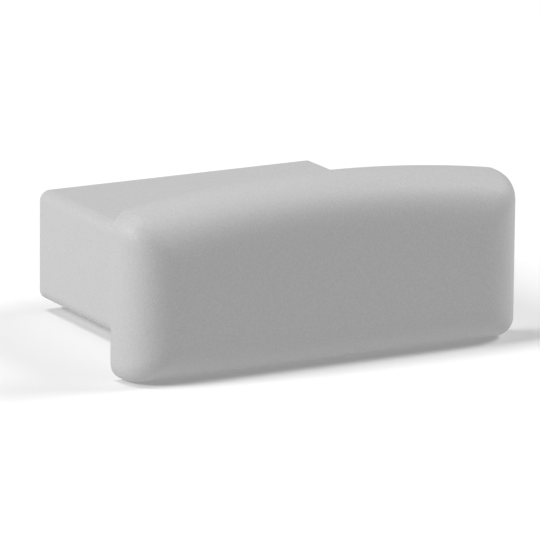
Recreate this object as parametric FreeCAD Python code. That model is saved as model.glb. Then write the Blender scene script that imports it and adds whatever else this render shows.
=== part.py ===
"""End cap for a slim surface-mounted profile: one moulded piece, an arched head with a hollow plug behind it.

Millimetres. The origin lies on the shoulder, the plane where the head's back meets the profile's sawn end,
at the middle of the plug. +X runs across the cap, +Y along the plug into the profile, +Z up.
"""
import FreeCAD
import Part
import math
import os
from FreeCAD import Vector

# Head: the visible block that closes the profile's end
HEAD_WIDTH = 17.0
HEAD_DEPTH = 2.07
HEAD_SIDE_HEIGHT = 6.41     # underside to where the flat side would meet the arched top
HEAD_CROWN = 0.74           # rise of the arched top above the ends of its arc
HEAD_DRAW_IN = 1.63         # from the outline at the shoulder in to the flat front face, on every side
TOP_CORNER_RADIUS = 0.92    # the outline's corners at the shoulder
BOTTOM_CORNER_RADIUS = 0.7
FRONT_CORNER_RADIUS = 0.25  # what all four corners narrow to round the front face
HEAD_SECTIONS = 13          # outlines, from the shoulder to the front face, that the head's skin passes through

# Plug: the thin-walled box that slides into the profile
PLUG_WIDTH = 12.2
PLUG_HEIGHT = 4.35
PLUG_LENGTH = 10.8
PLUG_EDGE_RADIUS = 0.42
PLUG_ABOVE_BASE = 0.45      # step from the head's underside up to the plug's underside
PLUG_LEAD_IN = 0.15         # edge break round the plug's open end
PLUG_WALL = 1.1
CORE_FLOOR = 0.3            # solid left between the bottom of the core and the shoulder
CORE_EDGE_RADIUS = 0.3

# Places that follow from the sizes above
HALF_WIDTH = HEAD_WIDTH / 2
HEAD_BASE = -PLUG_HEIGHT / 2 - PLUG_ABOVE_BASE
ARCH_TOP = HEAD_BASE + HEAD_SIDE_HEIGHT + HEAD_CROWN
ARCH_RADIUS = (HALF_WIDTH ** 2 + HEAD_CROWN ** 2) / (2 * HEAD_CROWN)
ARCH_CENTRE = ARCH_TOP - ARCH_RADIUS

# Directions in the outline, anticlockwise from the right as seen from the front
RIGHT, UP, LEFT, DOWN, FULL_TURN = (quarter * math.pi / 2 for quarter in range(5))

# Two lengths closer than this count as the same
TOUCH = 1e-4


def upright_line(start, end, y):
    """A straight stretch of an outline that stands across the cap at y. Start and end are (x, z)."""
    return Part.makeLine(Vector(start[0], y, start[1]), Vector(end[0], y, end[1]))


def upright_arc(centre, radius, start, end, y):
    """A round stretch of such an outline, about the centre (x, z) and between two angles."""
    def at(angle):
        return Vector(centre[0] + radius * math.cos(angle), y, centre[1] + radius * math.sin(angle))
    return Part.Arc(at(start), at((start + end) / 2), at(end)).toShape()


def head_outline(y, inset, top_corner, bottom_corner):
    """The head's section at y: the outline at the shoulder, drawn in by the inset on every side.

    The underside and the sides are flat, the arched top keeps its centre, and a corner rounds each meeting.
    """
    half_width = HALF_WIDTH - inset
    base = HEAD_BASE + inset
    arch = ARCH_RADIUS - inset
    bottom_x, bottom_z = half_width - bottom_corner, base + bottom_corner
    top_x = half_width - top_corner
    top_z = ARCH_CENTRE + math.sqrt((arch - top_corner) ** 2 - top_x ** 2)
    lean = math.atan2(top_z - ARCH_CENTRE, top_x)
    return Part.Wire([
        upright_line((-bottom_x, base), (bottom_x, base), y),
        upright_arc((bottom_x, bottom_z), bottom_corner, DOWN, FULL_TURN, y),
        upright_line((half_width, bottom_z), (half_width, top_z), y),
        upright_arc((top_x, top_z), top_corner, RIGHT, lean, y),
        upright_arc((0, ARCH_CENTRE), arch, lean, LEFT - lean, y),
        upright_arc((-top_x, top_z), top_corner, LEFT - lean, LEFT, y),
        upright_line((-half_width, top_z), (-half_width, bottom_z), y),
        upright_arc((-bottom_x, bottom_z), bottom_corner, LEFT, DOWN, y),
    ])


def head():
    """The head, blended all round: from the shoulder to the front face its outline closes in along a quarter ellipse
    as deep as the head, so the skin leaves the shoulder square on and runs smoothly into the front face."""
    sections = []
    for step in range(HEAD_SECTIONS):
        angle = UP * step / (HEAD_SECTIONS - 1)
        share = 1 - math.cos(angle)
        top_corner = TOP_CORNER_RADIUS + share * (FRONT_CORNER_RADIUS - TOP_CORNER_RADIUS)
        bottom_corner = BOTTOM_CORNER_RADIUS + share * (FRONT_CORNER_RADIUS - BOTTOM_CORNER_RADIUS)
        depth = HEAD_DEPTH * math.sin(angle)
        sections.append(head_outline(-depth, share * HEAD_DRAW_IN, top_corner, bottom_corner))
    return Part.makeLoft(sections, True)


def rounded_bar(width, height, start, end, radius):
    """A bar along Y round the plug's axis, with its lengthwise edges rounded."""
    corner = Vector(-width / 2, start, -height / 2)
    bar = Part.makeBox(width, end - start, height, corner)
    lengthwise = [edge for edge in bar.Edges if edge.BoundBox.YLength > TOUCH]
    return bar.makeFillet(radius, lengthwise)


def plug_skin():
    """The outside of the plug, from inside the head to its open end, where the edges are broken."""
    bar = rounded_bar(PLUG_WIDTH, PLUG_HEIGHT, -HEAD_DEPTH / 4, PLUG_LENGTH, PLUG_EDGE_RADIUS)
    end_edges = [edge for edge in bar.Edges if edge.BoundBox.YMin > PLUG_LENGTH - TOUCH]
    return bar.makeChamfer(PLUG_LEAD_IN, end_edges)


def plug_core():
    """The hollow of the plug, open at its free end."""
    width = PLUG_WIDTH - 2 * PLUG_WALL
    height = PLUG_HEIGHT - 2 * PLUG_WALL
    return rounded_bar(width, height, CORE_FLOOR, PLUG_LENGTH + PLUG_WALL, CORE_EDGE_RADIUS)


def end_cap():
    """The whole moulding: the blended head and the plug are one solid."""
    return head().fuse(plug_skin()).cut(plug_core()).removeSplitter()


os.makedirs("parts", exist_ok=True)
cap = end_cap()
cap.exportStep("parts/end_cap.step")
box = cap.optimalBoundingBox()
print("end_cap", "valid" if cap.isValid() else "NOT VALID", len(cap.Solids), "solid", len(cap.Faces), "faces")
print("volume", round(cap.Volume, 2), "mm3, size", round(box.XLength, 3), round(box.YLength, 3), round(box.ZLength, 3))
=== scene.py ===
"""The end cap dressed for its photograph: one satin grey moulding on a pale floor in soft light.

Metres, in the frame of the solid part: +X across the cap, +Y along the plug, +Z up.
"""
import math

import bpy
import numpy as np
from mathutils import Matrix, Vector


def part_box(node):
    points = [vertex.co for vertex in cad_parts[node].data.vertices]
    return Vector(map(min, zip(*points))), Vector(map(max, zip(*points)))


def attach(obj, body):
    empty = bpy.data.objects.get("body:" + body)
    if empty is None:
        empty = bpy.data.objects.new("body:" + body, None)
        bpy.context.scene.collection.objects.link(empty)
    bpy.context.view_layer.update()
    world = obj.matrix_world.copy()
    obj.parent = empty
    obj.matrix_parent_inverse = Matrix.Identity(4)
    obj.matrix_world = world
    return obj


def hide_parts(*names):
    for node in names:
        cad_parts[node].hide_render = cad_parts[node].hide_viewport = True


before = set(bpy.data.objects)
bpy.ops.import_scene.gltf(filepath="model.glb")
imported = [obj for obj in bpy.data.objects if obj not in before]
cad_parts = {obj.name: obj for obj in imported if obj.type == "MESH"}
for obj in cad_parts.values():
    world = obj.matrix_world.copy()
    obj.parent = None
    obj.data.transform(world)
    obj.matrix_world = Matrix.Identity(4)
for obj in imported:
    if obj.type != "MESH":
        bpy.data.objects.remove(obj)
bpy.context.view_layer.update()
low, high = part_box("end_cap")

# Head, from the solid part's box
HALF_WIDTH = high.x
HEAD_DEPTH = -low.y
HEAD_BASE = low.z
ARCH_TOP = high.z
HEAD_CROWN = 0.00074             # rise of the arched top at the shoulder, over the whole width
FRONT_CROWN = 0.0012             # the same at the front face, whose arch is a little rounder
SIDE_DRAW_IN = 0.0022            # from the outline at the shoulder in to the flat front face
TOP_DRAW_IN = 0.0022
BOTTOM_DRAW_IN = 0.0018
BLEND_POWER = 2.6                # of the superellipse that the blend follows; 2 would be a plain ellipse
TOP_CORNER_RADIUS = 0.00092      # the outline's corners at the shoulder
BOTTOM_CORNER_RADIUS = 0.0007
FRONT_CORNER_RADIUS = 0.00015    # what all four corners narrow to round the front face

# Plug and its hollow
PLUG_HALF_WIDTH = 0.0061
PLUG_HALF_HEIGHT = 0.002175
PLUG_LENGTH = high.y
PLUG_EDGE_RADIUS = 0.00042
PLUG_LEAD_IN = 0.00015           # edge break round the plug's open end
PLUG_WALL = 0.0011
CORE_FLOOR = 0.0003              # solid left between the bottom of the core and the shoulder
CORE_EDGE_RADIUS = 0.0003

# Points round one ring, and rings along the moulding
SIDE_POINTS = 24
CORNER_POINTS = 16
FLAT_POINTS = 72
BLEND_RINGS = 64
FRONT_RINGS = 16
PLUG_RINGS = 12
CORE_FLOOR_RINGS = 6
SHARP_EDGE = math.radians(32)    # edges that turn by more than this stay crisp
QUARTER = math.pi / 2

# Plastic
GRAIN_SIZE = 0.000058            # of one speck of the moulded texture
GRAIN_DEPTH = 0.000009
TONES = (0.464, 0.536)           # of the grain, from its darker to its paler specks
GLOSS_PATCH = 0.0003             # size of the patches that shine a little more or less
ROUGHNESSES = (0.51, 0.57)
NOISE_RUN = (0.3, 0.7)           # where nearly all values of a noise lie
SOFT_DETAIL = 2
FINE_DETAIL = 3

# Camera, from the outline of the cap in the photograph
PHOTO_PIXELS = 540
CAMERA_AZIMUTH = -28.8
CAMERA_ELEVATION = 13.943
CAMERA_ROLL = math.radians(0.553)
CAMERA_DISTANCE = 0.2412
CAMERA_RANGE = (0.01, 10)
PIXELS_PER_METRE = 26525         # at the aim point, seen square on
AIM = Vector((0, -0.001, HEAD_BASE + 0.004))
AIM_PIXEL = (323.28, 258.36)     # where the aim point lies in the picture, from its upper left corner
SENSOR = 36.0                    # millimetres, as is the lens

# Light. Each lamp: azimuth and elevation, irradiance square on to it, and the angle from its middle to its
# rim, as seen from the cap. Angles are in degrees, and an azimuth runs from the front round to the right.
WHITE = (1, 1, 1, 1)
SKY_STRENGTH = 0.25
LAMPS = {
    "left_lamp": (-92, 32, 2.1, 12),
    "right_lamp": (79, 37, 1.65, 13),
    "top_lamp": (-110, 72, 1.0, 10),
}
LAMP_DISTANCE = 0.5
FLOOR_SIZE = 3.0
FLOOR_TONE = 0.9                 # as the camera and reflections see it
FLOOR_GIVES_BACK = 0.12          # share of the lamps' light that it throws onto the cap
FLOOR_PAINTED_GLOW = 0.69                # painted light: an even glow that the floor gives off onto the cap, though it is no lamp, in place of what a wide pale table throws back


def line(start, end, count):
    """Points from start to end, evenly spaced, without the end. Each of the two is an x and a z, which are
    columns with one row per ring."""
    share = np.arange(count) / count
    return [a + (b - a) * share for a, b in zip(start, end)]


def arc(centre, radius, start, end, count):
    """Points at the centre plus the radius times the cosine and the sine of an angle, which runs evenly from
    start to end, without the end."""
    angle = start + (end - start) * (np.arange(count) / count)
    return [centre[0] + radius * np.cos(angle), centre[1] + radius * np.sin(angle)]


def joined(stretches):
    """The x and the z of several stretches, put side by side into one closed ring per row."""
    return [np.hstack(coordinate) for coordinate in zip(*stretches)]


def bar_rings(half_width, half_height, radius):
    """Rounded rectangles round the plug's axis: four lines and four quarter circles, anticlockwise from the
    front."""
    inner_x, inner_z = half_width - radius, half_height - radius
    return joined([
        line((-inner_x, -half_height), (inner_x, -half_height), FLAT_POINTS),
        arc((inner_x, -inner_z), radius, -QUARTER, 0, CORNER_POINTS),
        line((half_width, -inner_z), (half_width, inner_z), SIDE_POINTS),
        arc((inner_x, inner_z), radius, 0, QUARTER, CORNER_POINTS),
        line((inner_x, half_height), (-inner_x, half_height), FLAT_POINTS),
        arc((-inner_x, inner_z), radius, QUARTER, 2 * QUARTER, CORNER_POINTS),
        line((-half_width, inner_z), (-half_width, -inner_z), SIDE_POINTS),
        arc((-inner_x, -inner_z), radius, 2 * QUARTER, 3 * QUARTER, CORNER_POINTS),
    ])


def head_rings(share):
    """The head's outline, a share of the way from the shoulder to the front face. The sides, the underside
    and the arched top are each drawn in by that share, and each corner is a circle that touches the two
    stretches beside it."""
    def between(shoulder, front):
        return shoulder + (front - shoulder) * share
    half_width = HALF_WIDTH - SIDE_DRAW_IN * share
    base = HEAD_BASE + BOTTOM_DRAW_IN * share
    crown = between(HEAD_CROWN, FRONT_CROWN)
    top_corner = between(TOP_CORNER_RADIUS, FRONT_CORNER_RADIUS)
    bottom_corner = between(BOTTOM_CORNER_RADIUS, FRONT_CORNER_RADIUS)
    arch = (HALF_WIDTH ** 2 + crown ** 2) / (2 * crown)
    arch_centre = ARCH_TOP - TOP_DRAW_IN * share - arch
    top_x = half_width - top_corner
    top_z = arch_centre + np.sqrt((arch - top_corner) ** 2 - top_x ** 2)
    lean = np.arctan2(top_z - arch_centre, top_x)
    bottom_x = half_width - bottom_corner
    bottom_z = base + bottom_corner
    return joined([
        line((-bottom_x, base), (bottom_x, base), FLAT_POINTS),
        arc((bottom_x, bottom_z), bottom_corner, -QUARTER, 0, CORNER_POINTS),
        line((half_width, bottom_z), (half_width, top_z), SIDE_POINTS),
        arc((top_x, top_z), top_corner, 0, lean, CORNER_POINTS),
        arc((0, arch_centre), arch, lean, math.pi - lean, FLAT_POINTS),
        arc((-top_x, top_z), top_corner, math.pi - lean, math.pi, CORNER_POINTS),
        line((-half_width, top_z), (-half_width, bottom_z), SIDE_POINTS),
        arc((-bottom_x, bottom_z), bottom_corner, 2 * QUARTER, 3 * QUARTER, CORNER_POINTS),
    ])


def head_surface():
    """Rings from the middle of the front face out to its edge, then back to the shoulder along a quarter of
    a superellipse. At each angle the depth is the head's depth times the sine to the power 2/n, and the
    outline is drawn in by one less the cosine to that power, where n is BLEND_POWER."""
    angle = np.linspace(QUARTER, 0, BLEND_RINGS)[:, None]
    depth = np.sin(angle) ** (2 / BLEND_POWER)
    share = 1 - np.abs(np.cos(angle)) ** (2 / BLEND_POWER)
    x, z = head_rings(share)
    blend = np.stack([x, np.broadcast_to(-HEAD_DEPTH * depth, x.shape), z], 2)
    middle = np.array([0, -HEAD_DEPTH, (HEAD_BASE + ARCH_TOP) / 2])
    spread = np.linspace(0, 1, FRONT_RINGS, endpoint=False)[:, None, None]
    return np.concatenate([middle + (blend[0] - middle) * spread, blend])


def bar_surface(half_width, half_height, radius, y, inset):
    """Rings of one rounded rectangle across the plug's axis, one at each y, each drawn in by its inset."""
    x, z = bar_rings(half_width - inset, half_height - inset, radius - inset)
    return np.stack([x, np.broadcast_to(y, x.shape), z], 2)


def plug_surface():
    """Rings along the outside of the plug, from the shoulder to the broken edge of its open end."""
    y = np.append(np.linspace(0, PLUG_LENGTH - PLUG_LEAD_IN, PLUG_RINGS), PLUG_LENGTH)[:, None]
    inset = np.append(np.zeros(PLUG_RINGS), PLUG_LEAD_IN)[:, None]
    return bar_surface(PLUG_HALF_WIDTH, PLUG_HALF_HEIGHT, PLUG_EDGE_RADIUS, y, inset)


def core_surface():
    """Rings from the plug's open end down its hollow, and then in to the middle of its floor."""
    y = np.linspace(PLUG_LENGTH, CORE_FLOOR, PLUG_RINGS)[:, None]
    half_width, half_height = PLUG_HALF_WIDTH - PLUG_WALL, PLUG_HALF_HEIGHT - PLUG_WALL
    walls = bar_surface(half_width, half_height, CORE_EDGE_RADIUS, y, np.zeros_like(y))
    middle = np.array([0, CORE_FLOOR, 0])
    shrink = np.linspace(1, 0, CORE_FLOOR_RINGS)[1:, None, None]
    return np.concatenate([walls, middle + (walls[-1] - middle) * shrink])


def grid_mesh(name, rings):
    """A closed mesh through rings of points, with four-sided faces between neighbours. The first ring and the
    last are single points, each joined into one."""
    count, around = rings.shape[:2]
    points = np.concatenate([rings[:1, 0], rings[1:-1].reshape(-1, 3), rings[-1:, 0]])
    row = 1 + np.arange(count - 2)[:, None] * around + np.arange(around)
    ahead = np.roll(row, -1, axis=1)
    quads = np.stack([row[:-1], row[1:], ahead[1:], ahead[:-1]], 2).reshape(-1, 4)
    last = len(points) - 1
    first_fan = np.stack([np.zeros(around, int), row[0], ahead[0]], 1)
    last_fan = np.stack([row[-1], np.full(around, last), ahead[-1]], 1)
    mesh = bpy.data.meshes.new(name)
    mesh.from_pydata(points.tolist(), [], first_fan.tolist() + quads.tolist() + last_fan.tolist())
    mesh.validate()
    mesh.shade_smooth()
    mesh.set_sharp_from_angle(angle=SHARP_EDGE)
    return mesh


def noise(nodes, links, place, size, detail):
    """A noise whose features are about this size, on the cap's own metres."""
    texture = nodes.new("ShaderNodeTexNoise")
    texture.inputs["Scale"].default_value = 1 / size
    texture.inputs["Detail"].default_value = detail
    links.new(place.outputs["Object"], texture.inputs["Vector"])
    return texture.outputs[0]


def spread_over(nodes, links, value, least, most):
    """The noise's usual run of values, stretched between two others."""
    stretch = nodes.new("ShaderNodeMapRange")
    for socket, number in zip(("From Min", "From Max", "To Min", "To Max"), (*NOISE_RUN, least, most)):
        stretch.inputs[socket].default_value = number
    links.new(value, stretch.inputs["Value"])
    return stretch.outputs["Result"]


def satin_plastic():
    """Grey moulded plastic: a fine spark-eroded grain, with a slight unevenness of tone and gloss."""
    material = bpy.data.materials.new("satin_plastic")
    material.use_nodes = True
    nodes, links = material.node_tree.nodes, material.node_tree.links
    shader = nodes["Principled BSDF"]
    place = nodes.new("ShaderNodeTexCoord")

    bump = nodes.new("ShaderNodeBump")
    bump.inputs["Strength"].default_value = 1
    bump.inputs["Distance"].default_value = GRAIN_DEPTH
    links.new(noise(nodes, links, place, GRAIN_SIZE, SOFT_DETAIL), bump.inputs["Height"])
    links.new(bump.outputs["Normal"], shader.inputs["Normal"])

    specks = noise(nodes, links, place, GRAIN_SIZE, FINE_DETAIL)
    links.new(spread_over(nodes, links, specks, *TONES), shader.inputs["Base Color"])
    patches = noise(nodes, links, place, GLOSS_PATCH, SOFT_DETAIL)
    links.new(spread_over(nodes, links, patches, *ROUGHNESSES), shader.inputs["Roughness"])
    return material


def add_cap():
    """The moulding as one run of rings, standing for the solid part."""
    rings = np.concatenate([head_surface(), plug_surface(), core_surface()])
    cap = bpy.data.objects.new("moulded_cap", grid_mesh("moulded_cap", rings))
    bpy.context.scene.collection.objects.link(cap)
    cap.data.materials.append(satin_plastic())
    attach(cap, "root")
    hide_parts("end_cap")


def pale_floor():
    """A matt surface that the camera and reflections see nearly white. To all else it gives back less of
    the lamps' light, and instead a steady glow of painted light, though the floor is no lamp."""
    material = bpy.data.materials.new("pale_floor")
    material.use_nodes = True
    nodes, links = material.node_tree.nodes, material.node_tree.links
    nodes.remove(nodes["Principled BSDF"])
    ray = nodes.new("ShaderNodeLightPath")
    seen = ray.outputs["Is Camera Ray"]
    for kind in ("Is Glossy Ray", "Is Transmission Ray"):
        either = nodes.new("ShaderNodeMath")
        either.operation = "MAXIMUM"
        links.new(seen, either.inputs[0])
        links.new(ray.outputs[kind], either.inputs[1])
        seen = either.outputs["Value"]
    # the emission below is painted light: it shines evenly on the cap from the floor, which is no lamp
    matt, glow = nodes.new("ShaderNodeBsdfDiffuse"), nodes.new("ShaderNodeEmission")
    for socket, when_unseen, when_seen in ((matt.inputs["Color"], FLOOR_GIVES_BACK, FLOOR_TONE),
                                           (glow.inputs["Strength"], FLOOR_PAINTED_GLOW, 0)):
        choice = nodes.new("ShaderNodeMapRange")
        choice.inputs["To Min"].default_value = when_unseen
        choice.inputs["To Max"].default_value = when_seen
        links.new(seen, choice.inputs["Value"])
        links.new(choice.outputs["Result"], socket)
    both = nodes.new("ShaderNodeAddShader")
    links.new(matt.outputs["BSDF"], both.inputs[0])
    links.new(glow.outputs["Emission"], both.inputs[1])
    links.new(both.outputs["Shader"], nodes["Material Output"].inputs["Surface"])
    material.cycles.emission_sampling = "NONE"
    return material


def add_floor():
    """A square floor at the height of the head's underside."""
    half = FLOOR_SIZE / 2
    corners = [(x, y, HEAD_BASE) for x, y in ((-half, -half), (half, -half), (half, half), (-half, half))]
    mesh = bpy.data.meshes.new("floor")
    mesh.from_pydata(corners, [], [(0, 1, 2, 3)])
    floor = bpy.data.objects.new("floor", mesh)
    bpy.context.scene.collection.objects.link(floor)
    floor.data.materials.append(pale_floor())


def towards(azimuth, elevation):
    """The direction from the cap to a place at this many degrees from the front round to the right, and this
    many above level."""
    azimuth, elevation = math.radians(azimuth), math.radians(elevation)
    level = math.cos(elevation)
    return Vector((math.sin(azimuth) * level, -math.cos(azimuth) * level, math.sin(elevation)))


def add_lamp(name, azimuth, elevation, irradiance, spread):
    """A round lamp that faces the cap. Its power is the irradiance times pi times its distance squared."""
    direction = towards(azimuth, elevation)
    light = bpy.data.lights.new(name, "AREA")
    light.shape = "DISK"
    light.size = 2 * LAMP_DISTANCE * math.tan(math.radians(spread))
    light.energy = irradiance * math.pi * LAMP_DISTANCE ** 2
    lamp = bpy.data.objects.new(name, light)
    bpy.context.scene.collection.objects.link(lamp)
    lamp.location = direction * LAMP_DISTANCE
    lamp.rotation_mode = "QUATERNION"
    lamp.rotation_quaternion = direction.to_track_quat("Z", "Y")


def add_light():
    """A white sky all round and three soft lamps."""
    world = bpy.data.worlds.new("soft_sky")
    bpy.context.scene.world = world
    world.use_nodes = True
    sky = world.node_tree.nodes["Background"]
    sky.inputs["Color"].default_value = WHITE
    sky.inputs["Strength"].default_value = SKY_STRENGTH
    for name, lamp in LAMPS.items():
        add_lamp(name, *lamp)


def add_camera():
    """A long lens, turned about its axis by the photograph's slight roll, with the aim point on its pixel.
    Its place is as far aside and below as that pixel lies from the middle of the picture."""
    back = towards(CAMERA_AZIMUTH, CAMERA_ELEVATION)
    across = Vector((0, 0, 1)).cross(back).normalized()
    up = back.cross(across)
    right = across * math.cos(CAMERA_ROLL) + up * math.sin(CAMERA_ROLL)
    up = back.cross(right)
    aside = (AIM_PIXEL[0] - PHOTO_PIXELS / 2) / PIXELS_PER_METRE
    below = (AIM_PIXEL[1] - PHOTO_PIXELS / 2) / PIXELS_PER_METRE
    lens = bpy.data.cameras.new("camera")
    lens.sensor_width = SENSOR
    lens.lens = PIXELS_PER_METRE * CAMERA_DISTANCE * SENSOR / PHOTO_PIXELS
    lens.clip_start, lens.clip_end = CAMERA_RANGE
    camera = bpy.data.objects.new("camera", lens)
    bpy.context.scene.collection.objects.link(camera)
    place = AIM - right * aside + up * below + back * CAMERA_DISTANCE
    camera.matrix_world = Matrix.Translation(place) @ Matrix((right, up, back)).transposed().to_4x4()
    bpy.context.scene.camera = camera


add_camera()
add_floor()
add_light()
add_cap()
bpy.context.scene.view_settings.view_transform = "Standard"
